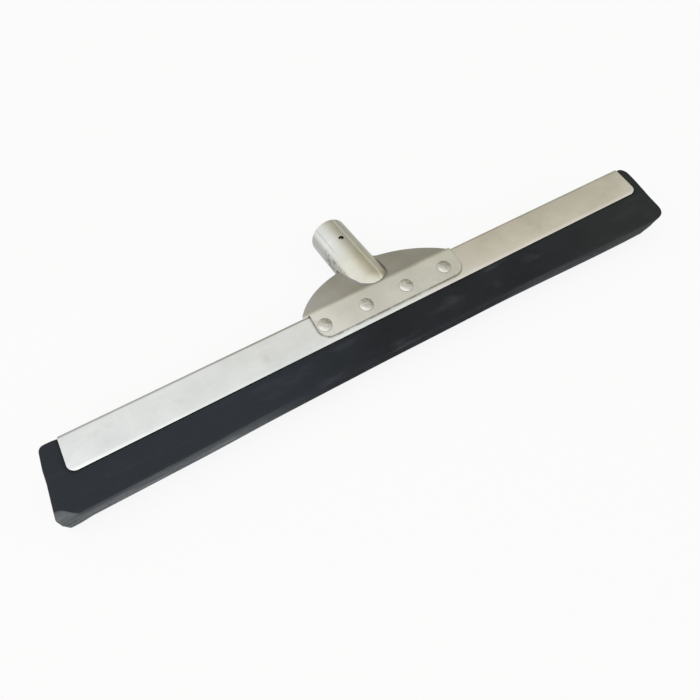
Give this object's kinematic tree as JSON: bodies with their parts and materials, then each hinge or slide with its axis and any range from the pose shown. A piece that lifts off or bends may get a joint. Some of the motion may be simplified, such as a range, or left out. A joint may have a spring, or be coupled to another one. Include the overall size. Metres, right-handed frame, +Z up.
{
  "type": "floor squeegee head",
  "caption": "Floor squeegee head: foam strips clamped in a long folded steel frame, with a riveted half-moon plate and a round handle socket.",
  "frame": {"origin": "middle of the bounding box on the floor, with the head lying on its back as it is put down", "axes": "+X along the blades, +Y from the working edge to the socket's mouth, +Z up, away from the floor"},
  "size_m": [0.45, 0.12, 0.0313],
  "materials": {
    "galvanised_sheet": "satin galvanised",
    "galvanised_plate": "satin galvanised",
    "galvanised_tube": "satin galvanised",
    "weld": "rough, dull",
    "rivet": "satin",
    "foam": "matt, fine-pored"
  },
  "bodies": {
    "root": {"frame_channel": "galvanised_sheet", "front_blade": "foam", "rear_blade": "foam", "socket_plate": "galvanised_plate", "socket_tube": "galvanised_tube", "socket_weld": "weld", "rivet_1": "rivet", "rivet_2": "rivet", "rivet_3": "rivet", "rivet_4": "rivet"}
  },
  "joints": []
}
